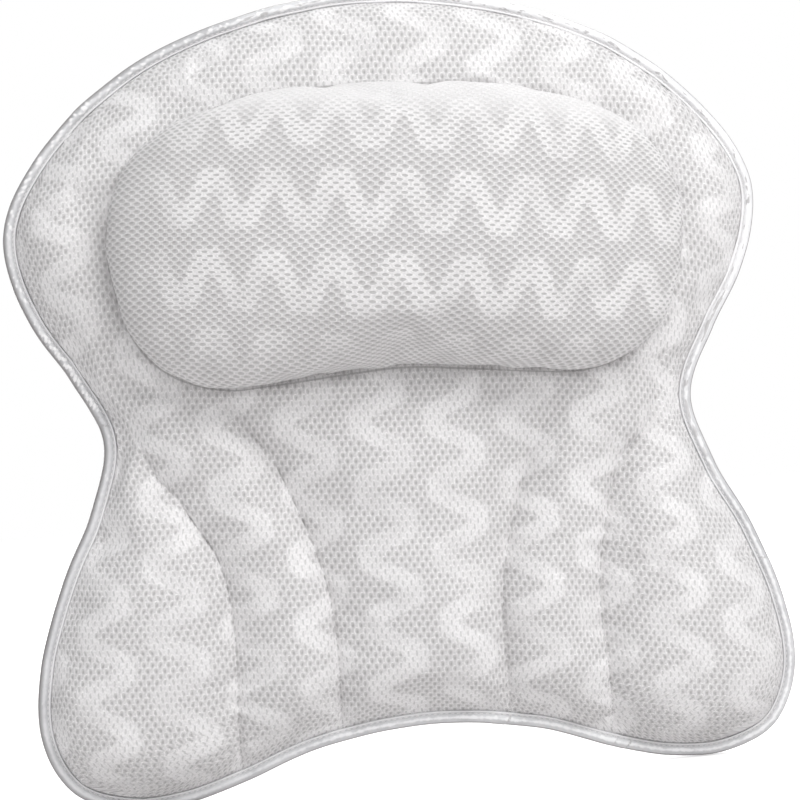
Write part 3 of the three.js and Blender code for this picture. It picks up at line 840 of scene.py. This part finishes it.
def binding_stitches():
    """Row of short stitches along the inner edge of the binding."""
    count = 500
    share = (np.arange(count) + 0.5) / count
    base = edge_point(share, BINDING_WIDTH - STITCH_PLACE[0])
    along = outline.outward(share)[:, ::-1] * [1, -1]
    side = outline.outward(share)
    points, faces = [], []
    profile = [(-1.05, 0.05), (-0.75, 0.2), (0, 0.27), (0.75, 0.2), (1.05, 0.05)]
    for k in range(count):
        rings = []
        for reach, size in profile:
            for turn in range(6):
                angle = turn * math.pi / 3
                spot = base[k] + along[k] * reach + side[k] * size * math.cos(angle)
                lift = STITCH_PLACE[1] + 0.14 * math.cos(reach * 1.4) + size * math.sin(angle)
                points.append((spot[0], lift, spot[1]))
            rings.append(np.arange(len(points) - 6, len(points)))
        for a, b in zip(rings, rings[1:]):
            faces += loop_faces(a, b)
        faces.append(list(rings[0][::-1]))
        faces.append(list(rings[-1]))
    return face_outwards(add_mesh("binding_stitches", points, faces))


# Suction cups and eyelets


def rounded(profile, steps=5):
    """Profile whose corners carry small radii, from (radius, depth, rounding)."""
    out = []
    count = len(profile)
    for k, (r, d, size) in enumerate(profile):
        here = np.array([r, d])
        if size <= 0 or k in (0, count - 1):
            out.append(here)
            continue
        before = np.array(profile[k - 1][:2]) - here
        after = np.array(profile[k + 1][:2]) - here
        reach = min(size, 0.45 * np.linalg.norm(before), 0.45 * np.linalg.norm(after))
        a = here + before / np.linalg.norm(before) * reach
        b = here + after / np.linalg.norm(after) * reach
        for t in np.linspace(0, 1, steps):
            out.append((1 - t) ** 2 * a + 2 * t * (1 - t) * here + t**2 * b)
    return np.array(out)


def lathe(name, profile, segments, x, z, closed):
    """Body of revolution round the Y axis at a place on the pad."""
    angle = np.arange(segments) * 2 * np.pi / segments
    points, faces, loops = [], [], []
    for radius, depth in profile:
        if radius < 1e-6:
            loops.append([len(points)])
            points.append((x, depth, z))
            continue
        loops.append(list(range(len(points), len(points) + segments)))
        points += [(x + radius * math.sin(a), depth, z + radius * math.cos(a)) for a in angle]
    pairs = list(zip(loops, loops[1:] + loops[:1])) if closed else list(zip(loops, loops[1:]))
    for a, b in pairs:
        if len(a) == 1:
            faces += [(a[0], b[k], b[(k + 1) % segments]) for k in range(segments)]
        elif len(b) == 1:
            faces += [(a[(k + 1) % segments], a[k], b[0]) for k in range(segments)]
        else:
            faces += loop_faces(a, b)
    return face_outwards(add_mesh(name, points, faces))


def cup_profile():
    bell = [(10.6, 11.2), (12.4, 9.0), (15.4, 6.9), (19.4, 4.7), (23.6, 2.9), (27.0, 1.55)]
    outer = spline([(8.5, 11.5), *bell], False, 4)
    hollow = spline([(25.4, 0.0), (20.6, 2.7), (14.4, 5.5), (7.6, 7.6), (0.0, 8.3)], False, 5)
    head = rounded([
        (0, 25.7, 0), (4.0, 25.7, 1.2), (7.5, 23.9, 1.2), (7.55, 21.35, 0.6), (4.4, 21.35, 0.5),
        (4.4, 12.3, 0.6), (8.4, 12.3, 0.6), (8.5, 11.5, 0),
    ])
    rim = rounded([(27.0, 1.55, 0), (28.0, 0.9, 0.5), (27.9, 0.02, 0.3), (25.4, 0.0, 0)], 4)
    return np.vstack([head, outer[1:-1], rim, hollow[1:]])


def lift_tab():
    """Rounded tab that stands out from the rim; the three ribs to grip it by are joined to it with the cup.
    """
    half, root, end = 4.9, -26.3, -36.8
    arc = np.linspace(np.pi, 2 * np.pi, 15)
    tip = [(half * math.cos(a), end + half + half * math.sin(a)) for a in arc]
    edge = [(-half, root), *tip, (half, root)]
    shape = bmesh.new()
    low = [shape.verts.new((x * MM, -0.55 * MM, z * MM)) for x, z in edge]
    face = shape.faces.new(low)
    grown = bmesh.ops.extrude_face_region(shape, geom=[face])
    raised = [v for v in grown["geom"] if isinstance(v, bmesh.types.BMVert)]
    bmesh.ops.translate(shape, verts=raised, vec=(0, -1.15 * MM, 0))
    bmesh.ops.bevel(shape, geom=list(shape.edges), offset=0.3 * MM, segments=2, affect="EDGES", profile=0.5)
    mesh = bpy.data.meshes.new("lift_tab")
    shape.to_mesh(mesh)
    shape.free()
    return face_outwards(put("lift_tab", mesh))


def cup_mesh():
    """Suction cup at the origin: head, neck, bell with a flat rim, and its tab."""
    obj = lathe("suction_cup", cup_profile(), 64, 0, 0, False)
    parts = [lift_tab()]
    for place in (-30.4, -32.2, -34.0):
        half = 3.1 if place > -33 else 2.5
        rib = rounded([(0, 0, 0), (0.35, 0.1, 0.2), (0.35, 2 * half - 0.1, 0.2), (0, 2 * half, 0)], 3)
        bar = lathe("rib", rib, 10, 0, 0, False)
        lay = Matrix.Rotation(math.pi / 2, 4, "Z")
        bar.data.transform(Matrix.Translation(Vector((-half, -1.72, place)) * MM) @ lay)
        parts.append(bar)
    for part in parts:
        join = obj.modifiers.new("join", "BOOLEAN")
        join.operation = "UNION"
        join.solver = "EXACT"
        join.object = part
    mesh = modified_mesh(obj)
    for part in [obj, *parts]:
        bpy.data.objects.remove(part, do_unlink=True)
    return mesh


def eyelet_profile():
    return rounded([
        (5.1, 12.75, 0.5), (7.0, 12.62, 0.4), (9.6, 12.75, 1.2), (11.0, 13.5, 0.4), (10.9, 13.8, 0.2),
        (6.4, 13.8, 0.2), (6.4, 19.9, 0.2), (8.0, 19.9, 0.3), (7.7, 20.75, 0.4), (5.1, 20.8, 0.4),
        (5.1, 12.75, 0),
    ], 4)[:-1]


# Materials

PAD_CELL = (4.35, 6.2)
PAD_SLIDE = (-0.09, 0.05)
PAD_TONES = (0.64, 1.0, 0.65, 0.45, 0.97, 0.7)
PAD_BANDS = dict(spacing=39.4, place=-14.5, period=35.6, phase=-73.5, swing=-10.2, width=5.7)
HEADREST_TONES = (0.635, 0.92, 0.59, 0.43, 0.91, 0.52)
HEADREST_BANDS = dict(spacing=41.5, place=8.6, period=32.6, phase=-1.0, swing=-9.2, width=6.0)
BACK_TONES = (0.66, 0.9, 0.6, 0.41)
TOP_EDGE = (51, 71)


def arithmetic(operation):
    return lambda first, second: first.nodes.math(operation, first, second)


class Value:
    """Output of a node. Sums and products of it are further nodes."""

    __add__ = arithmetic("ADD")
    __sub__ = arithmetic("SUBTRACT")
    __mul__ = arithmetic("MULTIPLY")
    __truediv__ = arithmetic("DIVIDE")

    def __init__(self, nodes, socket):
        self.nodes = nodes
        self.socket = socket

    def __rsub__(self, other):
        return self.nodes.math("SUBTRACT", other, self)

    def __abs__(self):
        return self.nodes.math("ABSOLUTE", self)


class Nodes:
    """Nodes of a material or of the world, with short calls for each kind."""

    def __init__(self, owner, output="ShaderNodeOutputMaterial"):
        owner.use_nodes = True
        self.owner = owner
        self.tree = owner.node_tree
        self.tree.nodes.clear()
        self.output = self.add(output)

    def add(self, kind, *inputs, **settings):
        node = self.tree.nodes.new(kind)
        for key, value in settings.items():
            setattr(node, key, value)
        for socket, value in zip(node.inputs, inputs):
            self.link(value, socket)
        return node

    def link(self, source, target):
        if isinstance(source, Value):
            self.tree.links.new(source.socket, target)
        else:
            target.default_value = source

    def value(self, kind, *inputs, **settings):
        return Value(self, self.add(kind, *inputs, **settings).outputs[0])

    def math(self, operation, *values):
        return self.value("ShaderNodeMath", *values, operation=operation)

    def step(self, value, low, high, start=0.0, end=1.0):
        return self.value("ShaderNodeMapRange", value, low, high, start, end, interpolation_type="SMOOTHSTEP")

    def mix(self, share, first, second):
        node = self.add("ShaderNodeMix", share, data_type="RGBA")
        colours = [socket for socket in node.inputs if socket.type == "RGBA"]
        self.link(first, colours[0])
        self.link(second, colours[1])
        return Value(self, [socket for socket in node.outputs if socket.type == "RGBA"][0])

    def noise(self, vector, scale, detail):
        node = self.add("ShaderNodeTexNoise", vector)
        node.inputs["Scale"].default_value = scale
        node.inputs["Detail"].default_value = detail
        return Value(self, node.outputs["Fac"])

    def place(self):
        return Value(self, self.add("ShaderNodeTexCoord").outputs["Object"])

    def map(self, name):
        return self.value("ShaderNodeUVMap", uv_map=name)

    def split(self, vector):
        return [Value(self, socket) for socket in self.add("ShaderNodeSeparateXYZ", vector).outputs]

    def shader(self, colour, roughness, height, distance, strength, **constants):
        node = self.add("ShaderNodeBsdfPrincipled")
        self.link(colour, node.inputs["Base Color"])
        self.link(roughness, node.inputs["Roughness"])
        for key, value in constants.items():
            node.inputs[key.replace("_", " ")].default_value = value
        bump = self.add("ShaderNodeBump")
        bump.inputs["Strength"].default_value = strength
        bump.inputs["Distance"].default_value = distance
        self.link(height, bump.inputs["Height"])
        self.tree.links.new(bump.outputs["Normal"], node.inputs["Normal"])
        self.tree.links.new(node.outputs[0], self.output.inputs["Surface"])
        return self.owner

    def seen_or_not(self, unseen, seen):
        """Ends in one shader where it is looked at, in gloss and through clear parts too, or in another."""
        rays = self.add("ShaderNodeLightPath").outputs
        share = Value(self, rays["Is Camera Ray"])
        for kind in ("Glossy", "Transmission"):
            share = self.math("MAXIMUM", share, Value(self, rays[f"Is {kind} Ray"]))
        self.link(self.value("ShaderNodeMixShader", share, unseen, seen), self.output.inputs["Surface"])


def grey(value, tint=(0.008, -0.004, -0.004)):
    return (value + tint[0], value + tint[1], value + tint[2], 1)


def bands_of(n, uv, across, along, spacing, place, period, phase, swing, width):
    """1 on wavy bands of one width, ragged and broken up, and 0 between them."""
    turn = (along - phase) * (2 * math.pi / period)
    centre = n.math("COSINE", turn) * -swing
    steep = n.math("SINE", turn) * (swing * 2 * math.pi / period)
    steep = n.math("SQRT", steep * steep + 1)
    away = n.math("FRACT", (across - place - centre) / spacing + 0.5) - 0.5
    away = abs(away) * spacing / steep
    ragged = (n.noise(uv, 110, 2) - 0.5) * 2.4
    band = n.step(away + ragged, width + 1.5, width - 1.5)
    return band * n.step(n.noise(uv, 34, 2), 0.36, 0.58, 0.5, 1.0)


def air_mesh(name, cell, size, slide, tones, bands=None, turned=False, seams=False):
    """Knitted spacer mesh: rows of pores between threads, and denser wavy bands that narrow them.

    cell is the pitch of the pores along both axes of the cloth. size gives theirs as shares of it, and
    slide how far the painted shade on one side of each pore lies off its middle. tones are those of the knit,
    the threads, which also carry a painted highlight on the lit rim of each pore, the pores and their painted
    shade, then those of the knit and the pores in the bands. Turned bands run across the cloth, which is then
    drawn over a top edge and closes there.
    """
    n = Nodes(bpy.data.materials.new(name))
    uv = n.map("Cloth")
    u, v = [part * METRE for part in n.split(uv)[:2]]
    wobble = (n.noise(uv, 120, 1) - 0.5) * 0.32
    a = (u + wobble) / cell[0]
    b = (v - wobble * 0.6) / cell[1]
    squeeze = [None, None]
    if bands:
        level, along = (v, u) if turned else (u, v)
        band = bands_of(n, uv, level, along, **bands)
        if turned:
            band = band * n.step(u, -138, -112, 0.1, 1.0) * n.step(v, -74, -50, 0.3, 1.0)
        squeeze = [band * (0.25 if turned else 0.75) + 1, band * (0.75 if turned else -0.05) + 1]

    def pore(shift, slide=(0, 0)):
        total = []
        for k, coordinate in enumerate((a, b)):
            off = (n.math("FRACT", coordinate + (shift + slide[k])) - 0.5) / (size[k] / 2)
            if bands:
                off = off * squeeze[k]
            total.append(off * off)
        return total[0] + total[1]

    near, far = pore(0.5), pore(0.0)
    inside = n.math("SQRT", n.math("MINIMUM", near, far))
    slid = n.math("SQRT", n.math("MINIMUM", pore(0.5, slide), pore(0.0, slide)))
    net = n.step(abs(near - far), 0.0, 1.5, 0.6, 0.0)
    # Painted light: a painted highlight on the rim of each pore on its lit side, and painted shade on the far
    # side of its hole, slid off the middle by slide
    rim = n.step(abs(inside - 1.2), 0.05, 0.4, 1.0, 0.0)
    lit = n.step(slid - inside, -0.2, 0.3, 0.15, 1.0)
    line = n.math("MAXIMUM", net, rim * lit)
    hole = n.step(inside, 0.83, 1.06, 1.0, 0.0)
    shaded = n.step(slid, 0.35, 0.8, 1.0, 0.0)
    knit, yarn, pit, pore_shade = [grey(tone) for tone in tones[:4]]
    fibre = n.noise(n.place(), 2400, 2)
    fuzz = n.noise(uv, 850, 2)
    cloud = n.noise(uv, 32, 3)
    colour = n.mix(line, knit, yarn)
    hollow = n.mix(shaded, pit, pore_shade)
    if bands:
        colour = n.mix(band * 0.85, colour, grey(tones[4]))
        hollow = n.mix(band, hollow, grey(tones[5]))
    colour = n.mix(hole, colour, hollow)
    if turned:
        colour = n.mix(n.step(v + fuzz * 6, *TOP_EDGE, 0.0, 0.75), colour, grey(0.84))
    dull = n.step(cloud, 0.3, 0.7) * 0.07 + n.step(fuzz, 0.36, 0.64, 0.0, 0.27)
    colour = n.mix(dull, colour, grey(0.45))
    # Painted shade: a dark line in the crease along each seam, and another round the foot of the headrest
    # where the pad meets it
    if seams:
        gap, foot = [part * METRE for part in n.split(n.map("Seam"))[:2]]
        colour = n.mix(n.step(gap, 0.15, 0.7, 0.5, 0.0), colour, grey(0.34))
        colour = n.mix(n.step(abs(foot - 0.4), 0.2, 0.9, 0.5, 0.0), colour, grey(0.3))
    height = (1 - hole) * 0.6 + line * 0.35 + fibre * 0.3
    if bands:
        height = height + band * 0.2
    gloss = {"Sheen_Weight": 0.2, "Sheen_Roughness": 0.5, "Specular_IOR_Level": 0.25}
    return n.shader(colour, 0.88, height, 0.00035, 0.8, **gloss)


def satin():
    """Satin of the tape: across is the place over its front, from the inner edge, and ridge its gathers, with
    a painted shade line at the edge of each lap.
    """
    n = Nodes(bpy.data.materials.new("satin_tape"))
    along, around, _ = n.split(n.map("Cloth"))
    ridge, across = [part * METRE for part in n.split(n.map("Seam"))[:2]]
    x, _, z = n.split(n.place())
    twill = n.math("SINE", along * 9000 + around * 9000)
    cloud = n.noise(n.place(), 60, 3)
    crumple = n.noise(n.place(), 330, 3)
    # Painted light: the tape is painted lighter towards the top right, where the key lamp falls, over a
    # random cloudy tone
    top_right_light = x + z
    shine = n.step(cloud, 0.3, 0.7, 0.0, 0.35) + n.step(top_right_light, 0.1, 0.26, 0.0, 0.65)
    colour = n.mix(shine, grey(0.52, (0, 0, 0.012)), grey(0.86, (0, 0, 0.006)))
    # Painted highlight along the rounded middle of the tape's front, stronger towards the right
    belly_highlight = n.step(abs(across - 3.7) + crumple * 2.6, 1.3, 2.6, 1.0, 0.0)
    colour = n.mix(belly_highlight * n.step(x, -0.15, 0.0, 0.3, 0.85), colour, grey(0.92, (0, 0, 0.004)))
    # Painted shade: grey dashes of shaded puckers across the tape near the top right
    streaks = n.noise(n.value("ShaderNodeCombineXYZ", along, around * 3), 150, 2)
    pucker_shade = n.step(streaks, 0.53, 0.6) * n.step(top_right_light, 0.06, 0.16)
    pucker_shade = pucker_shade * n.step(abs(across - 3.2), 0.7, 1.3, 0.8, 0.0)
    colour = n.mix(pucker_shade, colour, grey(0.42))
    shade = n.step(across, 3.9, 6.4, 0.0, 0.8) * n.step(across, 7.0, 7.6, 1.0, 0.0)
    colour = n.mix(shade * n.step(x, -0.17, -0.05, 1.0, 0.0), colour, grey(0.24))
    # Painted highlight on the ridges of the gathers, and painted shade at the edges of the laps
    colour = n.mix(n.step(ridge, 0.1, 0.45, 0.0, 0.85), colour, grey(0.95))
    colour = n.mix(n.step(ridge, -0.5, -0.15, 0.7, 0.0), colour, grey(0.4))
    # Painted shade on the turn of the edge, painted shade in the dimple of the row of stitches, and a painted
    # highlight on the hem: place, half widths, share and tone
    painted_light_lines = [(6.75, 0.35, 0.8, 0.85, 0.15), (1.75, 0.1, 0.45, 0.2, 0.34), (0.8, 0.15, 0.5, 0.55, 0.95)]
    for middle, core, end, share, tone in painted_light_lines:
        colour = n.mix(n.step(abs(across - middle), core, end, share, 0.0), colour, grey(tone))
    height = twill * 0.12 + n.noise(n.place(), 600, 3) * 0.8
    rough = n.step(cloud, 0.3, 0.7, 0.3, 0.42)
    return n.shader(colour, rough, height, 0.00012, 0.6, Sheen_Weight=0.2, Sheen_Roughness=0.35)


def thread():
    n = Nodes(bpy.data.materials.new("sewing_thread"))
    twist = n.add("ShaderNodeTexWave", n.place(), wave_type="BANDS", bands_direction="DIAGONAL")
    twist.inputs["Scale"].default_value = 900
    twist.inputs["Distortion"].default_value = 1.5
    strand = Value(n, twist.outputs["Fac"])
    return n.shader(n.mix(strand, grey(0.62), grey(0.86)), 0.55, strand, 0.0001, 0.6, Sheen_Weight=0.2)


def moulded(name, scale, colours, rough, grain, depth, **constants):
    """Plastic, a little cloudy and uneven. depth holds the depth and the strength of its grain."""
    n = Nodes(bpy.data.materials.new(name))
    cloud = n.noise(n.place(), scale, 3)
    roughness = n.step(cloud, 0.3, 0.7, *rough)
    return n.shader(n.mix(cloud, *colours), roughness, n.noise(n.place(), grain, 2), *depth, **constants)


pad_cloth = air_mesh("mesh_fabric", PAD_CELL, (0.45, 0.49), PAD_SLIDE, PAD_TONES, PAD_BANDS, seams=True)
headrest_weave = air_mesh(
    "headrest_fabric", (5.75, 4.2), (0.7, 0.54), (0.06, -0.12), HEADREST_TONES, HEADREST_BANDS, turned=True
)
backing = air_mesh("backing_fabric", PAD_CELL, (0.56, 0.54), PAD_SLIDE, BACK_TONES)
tape = satin()
sewing = thread()
white = (grey(0.8), grey(0.88, (0, -0.002, -0.008)))
plastic = moulded("eyelet_plastic", 140, white, (0.28, 0.42), 1800, (0.00008, 0.5), Coat_Weight=0.1)
bluish = ((0.9, 0.955, 0.97, 1), (0.96, 0.985, 1, 1))
clear = moulded(
    "clear_pvc", 70, bluish, (0.06, 0.14), 260, (0.0002, 0.35), Transmission_Weight=0.92, IOR=1.52
)


def dress(obj, material, body):
    obj.data.materials.clear()
    obj.data.materials.append(material)
    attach(obj, body)
    return obj


fills = [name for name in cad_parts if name.startswith("channel_fill_")]
pad = dress(quilted_pad(), pad_cloth, "pillow")
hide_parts("front_panel", "shoulder_fill", *fills)

rest = dress(headrest(), headrest_weave, "pillow")
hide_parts("headrest_cover", "headrest_core")

back = dress(back_panel(), backing, "pillow")
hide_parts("back_panel")

binding = dress(edge_binding(), tape, "pillow")
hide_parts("edge_binding")
dress(binding_stitches(), sewing, "pillow")

cup_shape = cup_mesh()
for name, (x, z) in CUP_PLACES.items():
    mesh = cup_shape.copy()
    mesh.transform(Matrix.Translation((x * MM, 0, z * MM)))
    smooth(mesh)
    cup = dress(put(f"clear_cup_{name}", mesh), clear, f"cup_{name}")
    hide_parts(f"suction_cup_{name}")
    ring = lathe(f"rolled_eyelet_{name}", eyelet_profile(), 48, x, z, True)
    dress(ring, plastic, "pillow")
    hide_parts(f"eyelet_{name}")
    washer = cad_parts[f"eyelet_washer_{name}"]
    for slot in washer.material_slots:
        slot.material = plastic

# Floor, light and camera

FLOOR_REACH = 4.0
FLOOR_GAP = 0.0003


def floor_material():
    n = Nodes(bpy.data.materials.new("pale_floor"))
    matt = n.value("ShaderNodeBsdfDiffuse", n.mix(n.noise(n.place(), 3, 2), grey(0.86), grey(0.9)))
    away = Value(n, n.add("ShaderNodeVectorMath", n.place(), operation="LENGTH").outputs["Value"])
    glow = n.value("ShaderNodeEmission", (1, 1, 1, 1), n.step(away, 0.45, 1.9, 0.42, 0.72))
    dim = n.value("ShaderNodeBsdfDiffuse", grey(0.75))
    n.seen_or_not(dim, n.value("ShaderNodeAddShader", matt, glow))
    return n.owner


low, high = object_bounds()
floor_mesh = bpy.data.meshes.new("floor")
sides = [(-1, -1), (1, -1), (1, 1), (-1, 1)]
corners = [(x * FLOOR_REACH, y * FLOOR_REACH, low.z - FLOOR_GAP) for x, y in sides]
floor_mesh.from_pydata(corners, [], [(0, 1, 2, 3)])
floor_mesh.materials.append(floor_material())
put("floor", floor_mesh)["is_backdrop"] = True

world = bpy.data.worlds.new("studio")
bpy.context.scene.world = world
studio = Nodes(world, "ShaderNodeOutputWorld")
soft_light = studio.value("ShaderNodeBackground", (0.97, 0.98, 1, 1), 0.39)
studio.seen_or_not(soft_light, studio.value("ShaderNodeBackground", (1, 1, 1, 1), 1))

# Name, place, size and power of each lamp
LAMPS = [
    ("key", (0.9, -1.3, 1.0), 0.9, 12.8),
    ("top", (0.35, -1.1, 1.5), 0.9, 11.2),
    ("fill", (-1.1, -1.7, 0.1), 1.0, 5.2),
    ("back", (0.3, 1.0, 1.5), 1.2, 20),
    ("back_fill", (-0.9, 1.5, 0.4), 1.0, 9),
]
for name, place, size, power in LAMPS:
    data = bpy.data.lights.new(name, "AREA")
    data.shape = "DISK"
    data.size = size
    data.energy = power
    lamp = put(name, data)
    lamp.location = place
    lamp.rotation_mode = "QUATERNION"
    lamp.rotation_quaternion = (-Vector(place)).to_track_quat("-Z", "Y")

camera_data = bpy.data.cameras.new("camera")
camera = put("camera", camera_data)
bpy.context.scene.camera = camera
target = Vector((0.1, -20.0, -8.6)) * MM
yaw, pitch, roll, distance = math.radians(5), math.radians(-1.2), math.radians(4.8), 1.0
away = Vector((-math.sin(yaw) * math.cos(pitch), -math.cos(yaw) * math.cos(pitch), math.sin(pitch)))
camera.location = target + away * distance
camera.rotation_mode = "QUATERNION"
camera.rotation_quaternion = (-away).to_track_quat("-Z", "Y") @ Quaternion((0, 0, 1), -roll)
camera_data.sensor_width = 36
camera_data.lens = 83.5
camera_data.clip_start = 0.05
camera_data.clip_end = 50

bpy.context.scene.view_settings.view_transform = "Standard"

low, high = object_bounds()
